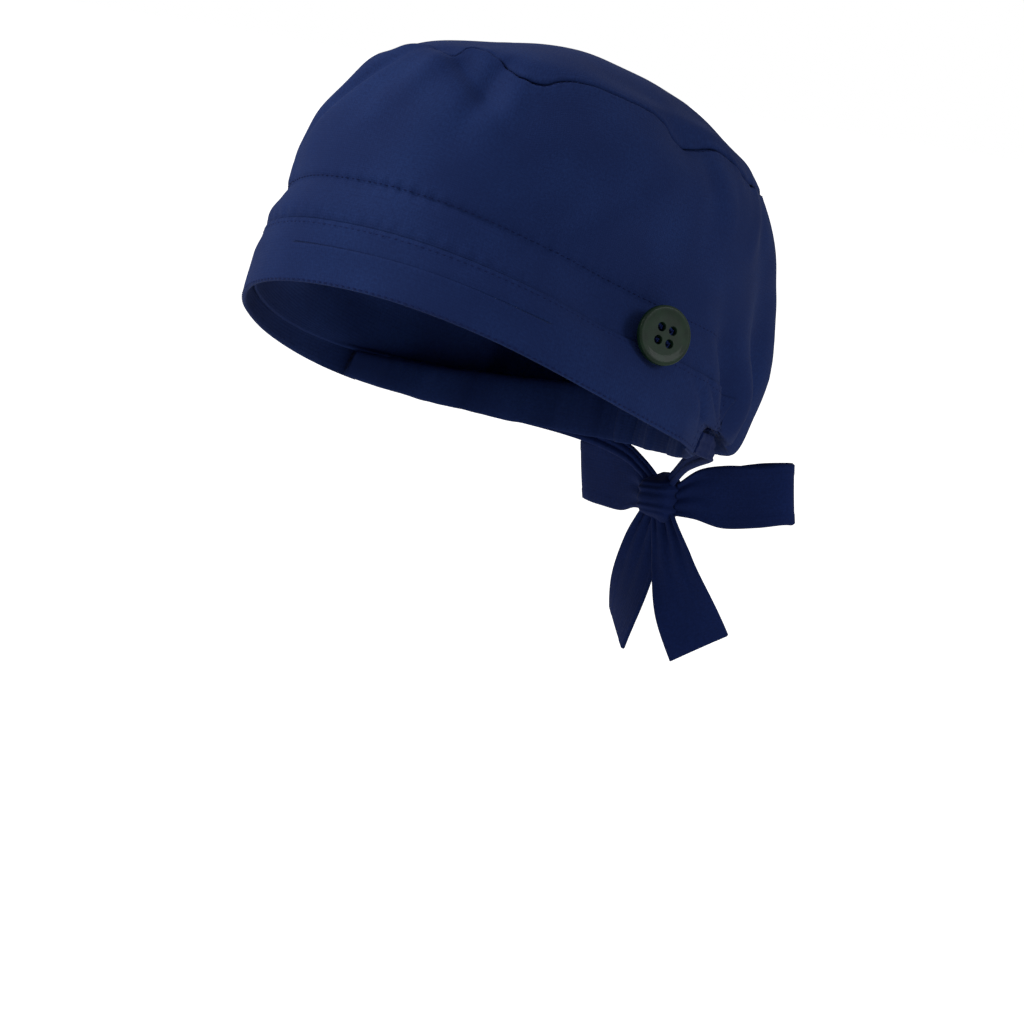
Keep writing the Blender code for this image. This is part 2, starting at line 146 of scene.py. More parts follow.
# Sections of the crown, from the rim to the top, as in the CAD part
SECTION_COLUMNS = ("half_width", "front", "back", "widest", "front_up", "side_up", "back_up", "fullness")
SECTIONS = {
    "rim":      (1.000, 1.00, 0.98,  0.06, 0.330, 0.030, -0.090, 0.74),
    "gather":   (0.995, 1.00, 1.04,  0.09, 0.380, 0.095,  0.050, 0.80),
    "overhang": (0.980, 1.00, 1.16,  0.15, 0.440, 0.125, -0.100, 0.95),
    "band_top": (0.960, 1.00, 1.26,  0.22, 0.500, 0.200,  0.030, 1.00),
    "tuck":     (0.915, 0.96, 1.41,  0.28, 0.610, 0.310,  0.170, 1.00),
    "belly":    (0.920, 0.92, 1.40,  0.31, 0.720, 0.480,  0.300, 1.00),
    "shoulder": (0.890, 0.84, 1.30,  0.37, 0.860, 0.660,  0.460, 1.00),
    "seam":     (0.750, 0.71, 1.22,  0.44, 0.980, 0.800,  0.610, 1.00),
    "puff":     (0.650, 0.54, 1.10,  0.44, 1.000, 0.855,  0.680, 1.00),
    "dome":     (0.450, 0.12, 0.88,  0.42, 1.000, 0.920,  0.780, 1.00),
    "apex":     (0.000, -0.36, 0.36, 0.36, 0.968, 0.968,  0.968, 1.00),
}
LEVEL = {name: float(number) for number, name in enumerate(SECTIONS)}
TOP_LEVEL = float(len(SECTIONS) - 1)

# Folds of the CAD part, then the finer ones of the photo. Depth is a share of CROWN_HEIGHT.
FOLD_COLUMNS = ("angle", "level", "half_angle", "half_levels", "lean", "depth")
FOLDS = {
    "front_right_hollow": (-44, 7.2, 26, 1.50,   0,  0.070),
    "front_right_valley": (-38, 6.6,  6, 0.80,  18,  0.024),
    "front_ridge":        (  4, 6.7,  8, 0.80, -20, -0.012),
    "front_left_valley":  ( 17, 6.7,  6, 0.70, -16,  0.030),
    "side_seam_dip":      ( 80, 7.0,  7, 0.50,   0,  0.018),
    "top_left_ridge":     ( 42, 8.0, 22, 0.80,   0, -0.014),
    "front_fullness":     (-45, 3.4, 45, 0.35,   0, -0.018),
    "tuck_line":          (  0, 4.0, 95, 0.12,   0,  0.007),
    "button_dent":        ( 64, 3.4, 11, 0.90,   0,  0.030),
    "button_swell":       ( 91, 3.4, 12, 0.90,   0, -0.020),
    "button_dent_right":  (-64, 3.4, 11, 0.90,   0,  0.022),
    "button_swell_right": (-91, 3.4, 12, 0.90,   0, -0.016),
    "nape_valley_left":   (118, 4.0,  6, 1.50,  -4,  0.034),
    "nape_ridge_left":    (131, 3.6,  6, 1.40,  -4, -0.020),
    "nape_valley_right":  (-121, 3.7, 7, 1.40,   5,  0.030),
    "nape_ridge_right":   (-136, 3.8, 6, 1.30,   3, -0.018),
    "nape_valley_back":   (163, 3.4,  7, 1.20,   2,  0.024),
}
FINE_FOLDS = {
    "front_crease_right":   (-30, 5.2, 2.5, 1.10,  14,  0.0060),
    "front_dark_valley":    (-12, 6.3, 3.2, 0.70,  16,  0.0200),
    "front_long_ridge":     (  5, 6.4, 4.0, 1.00,   8, -0.0150),
    "front_corner":         (-13, 7.4, 11,  0.50,   0,  0.0260),
    "top_fullness":         ( 32, 9.0, 38,  0.70,   0, -0.0260),
    "seam_dark_valley":     ( 24, 6.5, 3.6, 0.80,   4,  0.0190),
    "seam_valley_ridge":    ( 31, 6.3, 4.0, 0.50,   4, -0.0120),
    "side_drape":           ( 58, 5.0, 3.5, 1.20,  12,  0.0050),
    "side_drape_ridge":     ( 66, 5.2, 4.0, 1.20,  12, -0.0050),
    "seam_dip":             ( 79, 6.8, 4.0, 0.35,   0,  0.0140),
    "side_seam_crease":     ( 85, 6.2, 1.8, 0.50,  -2,  0.0060),
    "side_seam_ridge":      ( 88, 6.2, 2.2, 0.50,  -2, -0.0080),
    "back_ridge":           (104, 6.1, 3.0, 0.70,   5, -0.0080),
    "back_valley":          (110, 6.0, 3.0, 0.70,   5,  0.0060),
    "nape_dark_valley":     (102, 3.2, 4.6, 1.10,  -6,  0.0440),
    "nape_long_ridge":      (112, 3.2, 5.0, 1.10,  -5, -0.0260),
    "band_end_crease_one":  ( 94, 1.9, 1.6, 0.80,  -7,  0.0080),
    "band_end_crease_two":  ( 97, 2.5, 1.5, 0.50, -14,  0.0070),
    "nape_crease_two":      (124, 3.0, 1.8, 1.00,  -3,  0.0090),
    "nape_crease_three":    (139, 3.1, 2.2, 1.00,  -4,  0.0080),
    "nape_crease_four":     (150, 3.2, 2.2, 1.10,   2,  0.0070),
    "nape_crease_five":     (-128, 3.2, 2.0, 1.00,  4,  0.0080),
    "nape_crease_six":      (-148, 3.1, 2.4, 1.10,  3,  0.0080),
    "nape_crease_seven":    (-163, 3.2, 2.4, 1.00,  3,  0.0070),
    "band_crease":          ( 20, 1.9, 30, 0.07, 0, 0.0030),
    "band_side_soft":       ( 40, 1.6, 20, 0.60, 6, 0.0030),
    "top_soft_one":         (-60, 8.0, 6, 0.70, 10, 0.0060),
    "top_soft_two":         ( 95, 8.1, 8, 0.80, -10, 0.0050),
    "top_soft_three":       (150, 7.8, 6, 0.80,  8, 0.0050),
}

# The top seam wanders where the cloth folds at it: the angles that it passes and its level at each. Pixels
# read off the photo by hand were mapped onto the model by another program, and its output was rounded
SEAM_ANGLES = (-180, -120, -60, -20, 1, 9, 14, 19, 26, 31, 38,
               44, 52, 59, 67, 73, 77, 81, 87, 101, 130, 180)
SEAM_LEVELS = (7.0, 7.1, 7.4, 7.5, 7.35, 6.9, 7.6, 7.5, 7.15, 6.8, 6.75,
               7.1, 7.28, 7.25, 7.2, 7.1, 6.78, 6.75, 6.95, 6.65, 6.9, 7.0)

# Stations of a bow loop and of a tail: places as shares of its length, the width as a share of TIE_WIDTH,
# and two angles of its upright direction. They are the CAD part's, but the ends here run on into the knot
STATION_COLUMNS = ("x", "y", "z", "width", "turn", "lean")
LOOP_STATIONS = (
    (0.135, 0.02, 0.010, 0.50, -90,  2),
    (0.27,  0.08, 0.070, 0.78, -90,  6),
    (0.46,  0.14, 0.085, 1.00, -90, 10),
    (0.70,  0.20, 0.130, 1.00, -90, 13),
    (0.87,  0.25, 0.175, 1.00, -90, 16),
    (0.92,  0.32, 0.185, 1.00, -90, 16),
    (0.86,  0.38, 0.180, 1.00, -90, 14),
    (0.60,  0.34, 0.125, 1.00, -90, 10),
    (0.35,  0.22, 0.075, 0.80, -90,  6),
    (0.135, 0.09, 0.010, 0.46, -90,  2),
)
TAIL_STATIONS = (
    (0.045, 0.00, -0.070, 0.38,  3, 88),
    (0.105, 0.02, -0.25,  0.62,  3, 80),
    (0.145, 0.04, -0.40,  0.78,  5, 71),
    (0.225, 0.10, -0.63,  0.96, 20, 64),
    (0.320, 0.18, -0.86,  1.00, 35, 57),
)

# Camera, solved from the photo. The frame's origin is seen at the origin pixel
CAMERA_AZIMUTH = 36.0
CAMERA_ELEVATION = 7.0
CAMERA_ROLL = 8.0
CAMERA_DISTANCE = 1.9
PIXELS_PER_METRE = 2645.0
PICTURE_PIXELS = 1024.0
ORIGIN_PIXEL = (482.0, 412.0)
SENSOR_MM = 36.0

# The stage, in metres, and each light's place, aim, size, watts and colour
FLOOR_REACH = 12.0
FLOOR_HEIGHT = -0.42
LIGHTS = {
    "key_light":  ((-0.9, -1.2, 1.2), (0, 0, 0.05), 0.7, 27, "#FFFDF8"),
    "side_light": ((1.8, 0.3, 0.8), (0, 0, 0.04), 0.6, 9, "#F8FAFF"),
}


def linear(hex_colour):
    """An sRGB hex colour as linear red, green, blue and alpha."""
    parts = [int(hex_colour[i:i + 2], 16) / 255 for i in (1, 3, 5)]
    return (*[c / 12.92 if c <= 0.04045 else ((c + 0.055) / 1.055) ** 2.4 for c in parts], 1.0)


def node(owner, kind, links=None, **values):
    """Adds a shader node, sets its properties and sockets, and links other sockets to its inputs."""
    made = owner.node_tree.nodes.new(kind)
    for name, value in values.items():
        if hasattr(made, name):
            setattr(made, name, value)
        else:
            made.inputs[name.replace("_", " ")].default_value = value
    for key, socket in (links or {}).items():
        owner.node_tree.links.new(socket, made.inputs[key])
    return made


def wave_scale(spacing_mm):
    """The scale that gives a straight wave texture this spacing. It turns 20 radians a metre at scale 1."""
    return 2 * math.pi / 20 / (spacing_mm / 1000)


def noise_scale(spot_mm):
    """The scale that gives a noise texture spots of this width."""
    return 1000 / spot_mm


def cloth_material(name, dark, light, roughness):
    """Woven cotton and polyester: two crossed thread waves, a fibre grain and slow shade changes."""
    material = bpy.data.materials.new(name)
    material.use_nodes = True
    shader = material.node_tree.nodes["Principled BSDF"]
    shader.inputs["Roughness"].default_value = roughness
    shader.inputs["Specular IOR Level"].default_value = 0.12
    shader.inputs["Sheen Weight"].default_value = 0.05
    shader.inputs["Sheen Roughness"].default_value = 0.45
    shader.inputs["Sheen Tint"].default_value = linear("#8A97C8")

    # Real threads lie about 0.35 mm apart, too fine to show, so the weave is drawn three times as coarse
    weave = wave_scale(1.047)
    flat = {"Vector": node(material, "ShaderNodeUVMap", uv_map="metres").outputs["UV"]}
    warp = node(material, "ShaderNodeTexWave", flat, bands_direction="X", Scale=weave, Distortion=0.6)
    weft = node(material, "ShaderNodeTexWave", flat, bands_direction="Y", Scale=weave, Distortion=0.6)
    grain = node(material, "ShaderNodeTexNoise", flat, Scale=noise_scale(1.111), Detail=3.0)
    threads = {0: warp.outputs["Fac"], 1: weft.outputs["Fac"]}
    crossed = node(material, "ShaderNodeMath", threads, operation="MAXIMUM")
    relief = {0: crossed.outputs[0], 1: grain.outputs["Fac"]}
    height = node(material, "ShaderNodeMath", relief, operation="ADD")
    bump = node(material, "ShaderNodeBump", {"Height": height.outputs[0]}, Strength=0.32, Distance=0.00022)

    place = {"Vector": node(material, "ShaderNodeTexCoord").outputs["Object"]}
    slow = node(material, "ShaderNodeTexNoise", place, Scale=noise_scale(29.4), Detail=4.0)
    spots = {0: slow.outputs["Fac"], 1: grain.outputs["Fac"]}
    mixed = node(material, "ShaderNodeMath", spots, operation="MULTIPLY")
    ramp = node(material, "ShaderNodeValToRGB", {"Fac": mixed.outputs[0]})
    ramp.color_ramp.elements[0].color = linear(dark)
    ramp.color_ramp.elements[1].color = linear(light)
    ramp.color_ramp.elements[0].position = 0.18
    ramp.color_ramp.elements[1].position = 0.46
    material.node_tree.links.new(ramp.outputs["Color"], shader.inputs["Base Color"])
    material.node_tree.links.new(bump.outputs["Normal"], shader.inputs["Normal"])
    return material


def thread_material():
    """Spun polyester thread: matt, with a fine twist seen as diagonal waves."""
    material = bpy.data.materials.new("spun_polyester_thread")
    material.use_nodes = True
    shader = material.node_tree.nodes["Principled BSDF"]
    shader.inputs["Base Color"].default_value = linear("#0E1B49")
    shader.inputs["Roughness"].default_value = 0.75
    shader.inputs["Specular IOR Level"].default_value = 0.12
    # Diagonal waves turn half as fast as straight ones, so the twist crosses the thread every 0.9 mm
    place = {"Vector": node(material, "ShaderNodeTexCoord").outputs["Object"]}
    twist = node(material, "ShaderNodeTexWave", place, bands_direction="DIAGONAL", Scale=wave_scale(0.449),
                 Distortion=0.4)
    bump = node(material, "ShaderNodeBump", {"Height": twist.outputs["Fac"]}, Strength=0.5, Distance=0.0001)
    material.node_tree.links.new(bump.outputs["Normal"], shader.inputs["Normal"])
    return material


def button_material():
    """Moulded polyester button: near black green, satin, with a faint cloudiness."""
    material = bpy.data.materials.new("moulded_polyester_button")
    material.use_nodes = True
    shader = material.node_tree.nodes["Principled BSDF"]
    shader.inputs["Roughness"].default_value = 0.50
    shader.inputs["Specular IOR Level"].default_value = 0.25
    shader.inputs["Coat Weight"].default_value = 0.05
    place = {"Vector": node(material, "ShaderNodeTexCoord").outputs["Object"]}
    cloud = node(material, "ShaderNodeTexNoise", place, Scale=noise_scale(3.846), Detail=5.0)
    ramp = node(material, "ShaderNodeValToRGB", {"Fac": cloud.outputs["Fac"]})
    ramp.color_ramp.elements[0].color = linear("#0B2013")
    ramp.color_ramp.elements[1].color = linear("#102B19")
    ramp.color_ramp.elements[0].position = 0.35
    ramp.color_ramp.elements[1].position = 0.65
    bump = node(material, "ShaderNodeBump", {"Height": cloud.outputs["Fac"]}, Strength=0.12, Distance=0.0002)
    material.node_tree.links.new(ramp.outputs["Color"], shader.inputs["Base Color"])
    material.node_tree.links.new(bump.outputs["Normal"], shader.inputs["Normal"])
    return material


def smooth_step(value):
    """0 below 0, 1 above 1, and an S-shaped rise between."""
    value = np.clip(value, 0.0, 1.0)
    return value * value * (3.0 - 2.0 * value)


def signed_power(value, power):
    """The size of a value raised to a power, with the value's sign."""
    return np.sign(value) * np.abs(value) ** power


def bell(value, middle, reach):
    """1 at the middle, fading on both sides: exp(-((value - middle) / reach)^2)."""
    return np.exp(-(((value - middle) / reach) ** 2))


def through_rows(table, place):
    """A smooth curve through the rows of a table, read at each place."""
    last = len(table) - 1
    place = np.clip(place, 0.0, last)
    first = np.minimum(place.astype(int), last - 1)
    share = (place - first)[..., None]
    before = table[np.maximum(first - 1, 0)]
    low = table[first]
    high = table[first + 1]
    after = table[np.minimum(first + 2, last)]
    return (
        low * (2 * share**3 - 3 * share**2 + 1)
        + (high - before) / 2 * (share**3 - 2 * share**2 + share)
        + high * (3 * share**2 - 2 * share**3)
        + (after - low) / 2 * (share**3 - share**2)
    )


def smooth_crown(angle, level):
    """The crown without folds: at each level x is half width times the sine and y runs from front to back
    with the cosine, both raised to the oval's power."""
    angle, level = np.broadcast_arrays(np.asarray(angle, float), np.asarray(level, float))
    scale = {"half_width": HALF_WIDTH, "front": HALF_LENGTH, "back": HALF_LENGTH, "widest": HALF_LENGTH,
             "front_up": CROWN_HEIGHT, "side_up": CROWN_HEIGHT, "back_up": CROWN_HEIGHT, "fullness": 1.0}
    table = np.array(list(SECTIONS.values())) * [scale[column] for column in SECTION_COLUMNS]
    columns = np.moveaxis(through_rows(table, level), -1, 0)
    half, front, back, widest, front_up, side_up, back_up, fullness = columns
    along = np.cos(np.radians(angle))
    across = np.sin(np.radians(angle))
    power = np.where(along > 0, 1 / FRONT_FULLNESS, 1 / fullness)
    along = signed_power(along, power)
    across = signed_power(across, power)
    x = half * across
    y = widest - np.where(along > 0, widest + front, back - widest) * along
    z = side_up + (front_up - back_up) / 2 * along + ((front_up + back_up) / 2 - side_up) * along**2
    return np.stack([x, y, z], -1)


def outward(form, angle, level):
    """The unit normal of a surface, from the cross product of its two slopes."""
    angle_step = 0.3
    level_step = 0.02
    round_it = form(angle + angle_step, level) - form(angle - angle_step, level)
    above = np.minimum(level + level_step, TOP_LEVEL)
    below = np.maximum(level - level_step, 0.0)
    up_it = form(angle, above) - form(angle, below)
    normal = np.cross(round_it, up_it)
    size = np.linalg.norm(normal, axis=-1, keepdims=True)
    flat = size < TINY
    return np.where(flat, (0.0, 0.0, 1.0), normal / np.where(flat, 1.0, size))


def depth_of(folds, angle, level):
    """Depth of the folds: the sum of depth times exp(-(turn/half_angle)^2 - (rise/half_levels)^2)."""
    depth = np.zeros(np.broadcast(angle, level).shape)
    for row in folds.values():
        fold = dict(zip(FOLD_COLUMNS, row))
        rise = level - fold["level"]
        turn = (angle - fold["angle"] - fold["lean"] * rise + 180.0) % 360.0 - 180.0
        spread = (turn / fold["half_angle"]) ** 2 + (rise / fold["half_levels"]) ** 2
        depth = depth + fold["depth"] * CROWN_HEIGHT * np.exp(-spread)
    return depth


def from_forehead(angle):
    """The angle from the forehead on either side, 0 to 180."""
    return np.abs((angle + 180.0) % 360.0 - 180.0)


def level_outward(places):
    """The direction of each place from the upright axis, level with the floor."""
    away = places * (1.0, 1.0, 0.0)
    return away / np.maximum(np.linalg.norm(away, axis=-1, keepdims=True), LAYER_GAP)


# The bare numbers in the waves below are counts round the head, phases and shares, chosen to be uneven
def gather_depth(angle, level):
    """The gathers at the nape: cosines round the head that fade away from the casing's top, and a drape."""
    behind = smooth_step((from_forehead(angle) - BAND_END_ANGLE) / GATHER_START_ANGLE)
    turn = np.radians(angle)
    coarse = GATHER_DEPTH * np.cos(turn * GATHER_COUNT)
    fine = FINE_GATHER * np.cos(turn * 53 + 1.3) + FINEST_GATHER * np.cos(turn * 87)
    drape = NAPE_DRAPE * np.cos(turn * 31 + 1.4 * np.sin(turn * 5)) * bell(level, NAPE_DRAPE_LEVEL, 1.0)
    gathers = bell(level, GATHER_LEVEL, GATHER_LEVELS) * (coarse + fine)
    return behind * (gathers + drape * (0.6 + 0.4 * np.sin(turn * 7)))


def bumpy(places, seed, size, reach):
    """Soft unevenness: a sum of sine waves through space, in random directions fixed by a seed."""
    chance = np.random.default_rng(seed)
    total = np.zeros(places.shape[:-1])
    for _ in range(BUMP_WAVES):
        heading = chance.normal(size=3)
        heading = heading / np.linalg.norm(heading) * chance.uniform(0.7, 1.6) * 2 * math.pi / reach
        total = total + np.sin(places @ heading + chance.uniform(0, 2 * math.pi))
    return size * total / math.sqrt(BUMP_WAVES)


def seam_level(angle):
    """Where the top seam runs: straight lines between the points of its table, softened by averaging."""
    steps = np.array([-2.0, -1.0, 0.0, 1.0, 2.0])
    around = (np.asarray(angle, float)[..., None] + steps + 180.0) % 360.0 - 180.0
    return np.interp(around, SEAM_ANGLES, SEAM_LEVELS).mean(axis=-1)


def seam_pucker(angle, level):
    """Puckers beside the sewn lines: uneven cosines round the head that fade away from each line."""
    turn = np.radians(angle)
    front = 1 - smooth_step((from_forehead(angle) - 84) / 22)
    beat = 0.55 + 0.45 * np.sin(turn * 7 + 0.8)
    tuck = front * beat * bell(level, 4.08, 0.20) * np.cos(turn * 97 + 2 * np.sin(turn * 11))
    top = bell(level, seam_level(angle), 0.16) * np.cos(turn * 71 + 2 * np.sin(turn * 9 + 1))
    band_top = front * bell(level, 3.15, 0.16) * np.cos(turn * 83 + 2 * np.sin(turn * 8))
    top = top * (0.6 + 0.4 * np.sin(turn * 5))
    return TUCK_PUCKER * tuck + SEAM_PUCKER * top + BAND_TOP_PUCKER * band_top


def seam_groove(angle, level):
    """The grooves of the top seam and of the tuck above the band, as narrow dents."""
    front = 1 - smooth_step((from_forehead(angle) - 70) / 30)
    tuck = TUCK_GROOVE * front * bell(level, LEVEL["tuck"], 0.030)
    return SEAM_GROOVE * bell(level, seam_level(angle), 0.035) + tuck


def dented(angle, level, smooth, depth):
    """The smooth crown moved in along its normal by a depth, and towards its axis by the gathers."""
    normal = outward(smooth_crown, angle, level)
    return smooth - normal * depth[..., None] - level_outward(smooth) * gather_depth(angle, level)[..., None]


def fine_crown(angle, level):
    """The crown's outer face with its folds, gathers, puckers and unevenness."""
    angle, level = np.broadcast_arrays(np.asarray(angle, float), np.asarray(level, float))
    smooth = smooth_crown(angle, level)
    depth = depth_of(FOLDS, angle, level) + depth_of(FINE_FOLDS, angle, level)
    depth = depth + seam_pucker(angle, level) + seam_groove(angle, level)
    uneven = bumpy(smooth, 5, SLOW_BUMP, SLOW_BUMP_REACH) + bumpy(smooth, 9, FINE_BUMP, FINE_BUMP_REACH)
    above_band = smooth_step((level - 3.1) / 0.8)
    return dented(angle, level, smooth, depth + uneven * (0.3 + 0.7 * above_band))


def seam_form(angle, level):
    """The crown with its levels moved at each angle, so that the top seam runs at level 7."""
    return fine_crown(angle, level + seam_level(angle) - LEVEL["seam"])


def plain_crown(angle, level):
    """The crown's outer face with the CAD part's folds and the gathers, and none of the finer folds."""
    angle, level = np.broadcast_arrays(np.asarray(angle, float), np.asarray(level, float))
    return dented(angle, level, smooth_crown(angle, level), depth_of(FOLDS, angle, level))


def offset_from(form, angle, level, distance):
    """A surface that follows another one at a distance along its normal."""
    angle, level = np.broadcast_arrays(np.asarray(angle, float), np.asarray(level, float))
    return form(angle, level) + outward(form, angle, level) * np.asarray(distance)[..., None]


def as_piece(name, mesh, material):
    """A mesh as one smooth piece of the cap, with its material."""
    mesh.shade_smooth()
    mesh.materials.append(material)
    piece = bpy.data.objects.new(name, mesh)
    bpy.context.scene.collection.objects.link(piece)
    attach(piece, "root")
    return piece


def mesh_piece(name, grid, material, closed_round=False, closed_across=False, pole=False, flip=False):
    """A grid of points as one smooth mesh with a UV map in metres.

    Rows run across the piece and columns along it. Open ends of a closed cross-section are capped.
    """
    rows, columns = grid.shape[:2]
    points = grid.reshape(-1, 3)
    row_spans = rows if closed_across else rows - 1
    column_spans = columns if closed_round else columns - 1
    row, column = np.meshgrid(np.arange(row_spans), np.arange(column_spans), indexing="ij")
    beside = (column + 1) % columns
    above = (row + 1) % rows
    quads = np.stack([row * columns + column, row * columns + beside,
                      above * columns + beside, above * columns + column], -1).reshape(-1, 4)
    faces = quads.tolist()
    if closed_across and not closed_round:
        faces.append([k * columns for k in range(rows)])
        faces.append([k * columns + columns - 1 for k in range(rows)][::-1])
    if pole:
        points = np.vstack([points, grid[-1].mean(axis=0)])
        low = (rows - 1) * columns
        faces += [[low + k, low + (k + 1) % columns, len(points) - 1] for k in range(columns)]
    if flip:
        faces = [face[::-1] for face in faces]
    mesh = bpy.data.meshes.new(name)
    mesh.from_pydata(points.tolist(), [], faces)
    middle = grid[rows // 4 if closed_across else rows // 2]
    along = np.concatenate([[0], np.cumsum(np.linalg.norm(np.diff(middle, axis=0), axis=1))])
    up = np.concatenate([[0], np.cumsum(np.linalg.norm(np.diff(grid[:, columns // 3], axis=0), axis=1))])
    flat = np.stack([np.broadcast_to(along[None, :], (rows, columns)),
                     np.broadcast_to(up[:, None], (rows, columns))], -1).reshape(-1, 2)
    if pole:
        flat = np.vstack([flat, flat[-1]])
    layer = mesh.uv_layers.new(name="metres")
    corners = np.zeros(len(mesh.loops), int)
    mesh.loops.foreach_get("vertex_index", corners)
    layer.data.foreach_set("uv", flat[corners].astype(np.float32).ravel())
    return as_piece(name, mesh, material)


def folded_cloth(name, form, angles, levels, outer, inner, closed_round=False, top=None, ease=None):
    """A cloth layer, closed in section: up its outer face, over the rounded edge and down its inner one.

    Outer and inner are distances from the form along its normal, in metres. Top gives the level of the upper
    edge at each angle, and ease the share of the thickness at each angle and level.
    """
    thick = outer - inner
    measured_at = np.full(levels.shape, 40.0)
    rise = np.linalg.norm(np.diff(form(measured_at, levels), axis=0), axis=1)
    run = np.concatenate([[0], np.cumsum(rise)])
    edge = np.minimum(run, run[-1] - run)
    bulge = np.sqrt(np.clip(1 - (1 - np.clip(edge / thick, 0, 1)) ** 2, 0, 1))
    middle = (outer + inner) / 2
    angle, up = np.meshgrid(angles, levels)
    if top is not None:
        moves_from = 4.5
        rise = np.clip((up - moves_from) / (levels[-1] - moves_from), 0.0, 1.0)
        up = up + rise * (top(angle) - levels[-1])
    normal = outward(form, angle, up)
    base = form(angle, up)
    half = (thick / 2 * bulge)[:, None, None]
    if ease is not None:
        share = ease(angle, up)[..., None]
        middle = inner + thick / 2 * share
        half = half * share
    outside = base + normal * (middle + half)
    inside = base + normal * (middle - half)
    grid = np.concatenate([outside, inside[::-1][1:-1]])
    return mesh_piece(name, grid, CLOTH, closed_round=closed_round, closed_across=True)


def ease_ends(low, high, count, thick):
    """Levels from low to high with extra rows near both ends for the rounded edges."""
    inner = np.linspace(low, high, count)
    step = thick / LEVEL_RISE
    near = step * np.array([0.0, 0.03, 0.10, 0.22, 0.4, 0.7, 1.0])
    return np.unique(np.round(np.concatenate([low + near, inner[2:-2], high - near]), 5))


def strip_grid(low, high, crosswise, thick, hem, ripple=None):
    """A ribbon's closed section, two faces with doubled hems and rounded edges, its middle and its normal."""
    share = np.linspace(0, 1, crosswise)
    middle = low[None] + (high - low)[None] * share[:, None, None]
    if ripple is not None:
        middle = middle + ripple(share)
    round_it = np.gradient(middle, axis=1)
    up_it = np.gradient(middle, axis=0)
    normal = np.cross(round_it, up_it)
    normal = normal / np.maximum(np.linalg.norm(normal, axis=-1, keepdims=True), TINY)
    width = np.linalg.norm(high - low, axis=1).mean()
    edge = np.minimum(share, 1 - share) * width
    rounding = np.sqrt(np.clip(1 - (1 - np.clip(edge / (thick / 2), 0, 1)) ** 2, 0, 1))
    hem_width = 0.0038
    hem_edge = 0.0008
    raised = 1 + hem * (1 - smooth_step((edge - hem_width) / hem_edge))
    half = (thick / 2 * rounding * raised)[:, None, None]
    front = middle + normal * half
    back = middle - normal * half
    return np.concatenate([front, back[::-1][1:-1]]), middle, normal


def rings_round(centres, side, up, radius, sides):
    """A ring of points round each centre: the radius times cosine of the turn along side and sine along up."""
    turn = np.arange(sides) * 2 * math.pi / sides
    return (centres[:, None] + side[:, None] * (np.cos(turn) * radius)[None, :, None]
            + up[:, None] * (np.sin(turn) * radius)[None, :, None])


def tube_faces(base, rings, sides, capped=True):
    """The faces between rings of points that follow each other from a first point, and a cap at each end."""
    faces = []
    for start in range(base, base + (rings - 1) * sides, sides):
        for k in range(sides):
            beside = (k + 1) % sides
            faces.append([start + k, start + beside, start + beside + sides, start + k + sides])
    if capped:
        faces.append([base + k for k in range(sides)][::-1])
        faces.append([base + (rings - 1) * sides + k for k in range(sides)])
    return faces


def stitch_row(name, places, normal, lift=0.0):
    """A row of stitches along a line, each a short rounded thread whose ends dip into the cloth."""
    step = np.linalg.norm(np.diff(places, axis=0), axis=1)
    run = np.concatenate([[0], np.cumsum(step)])
    count = int(run[-1] / STITCH_PITCH)
    starts = (np.arange(count) + 0.5) * run[-1] / count

    def read(values, at):
        """The values along the line, at distances from its start."""
        return np.stack([np.interp(at, run, values[:, k]) for k in range(3)], -1)

    rings = []
    for share, size, rise in STITCH_RINGS:
        at = starts + share * STITCH_LENGTH
        out = read(normal, at)
        out = out / np.linalg.norm(out, axis=1, keepdims=True)
        ahead = read(places, at + STITCH_RADIUS) - read(places, at - STITCH_RADIUS)
        side = np.cross(out, ahead)
        side = side / np.maximum(np.linalg.norm(side, axis=1, keepdims=True), TINY)
        centre = read(places, at) + out * (lift + rise * STITCH_RADIUS)
        rings.append(rings_round(centre, side, out, STITCH_RADIUS * size, STITCH_SIDES))
    points = np.stack(rings, 1)
    faces = []
    for k in range(count):
        faces += tube_faces(k * len(rings) * STITCH_SIDES, len(rings), STITCH_SIDES)
    mesh = bpy.data.meshes.new(name)
    mesh.from_pydata(points.reshape(-1, 3).tolist(), [], faces)
    return as_piece(name, mesh, THREAD)


def crown_stitches(name, first, last, level, beside_seam=False):
    """A row of stitches on the crown at one level, or at a distance in levels from the top seam."""
    angles = np.linspace(first, last, 700)
    levels = np.full(angles.shape, level)
    if beside_seam:
        levels = seam_level(angles) + levels
    stitch_row(name, fine_crown(angles, levels), outward(fine_crown, angles, levels))


def all_round(count):
    """Angles round the whole head, starting at the nape."""
    return np.arange(count) * 360.0 / count - 180.0


def side_panel():
    """The gathered side panel, from the band and the casing up to the top seam."""
    levels = ease_ends(LEVEL["gather"] + CASING_GAP, LEVEL["seam"] - SEAM_GAP, 96, CLOTH_THICKNESS)
    piece = folded_cloth("crown_side_cloth", fine_crown, all_round(SIDE_COLUMNS), levels, 0.0,
                         -CLOTH_THICKNESS, closed_round=True, top=lambda angle: seam_level(angle) - SEAM_GAP)
    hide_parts("crown_side")


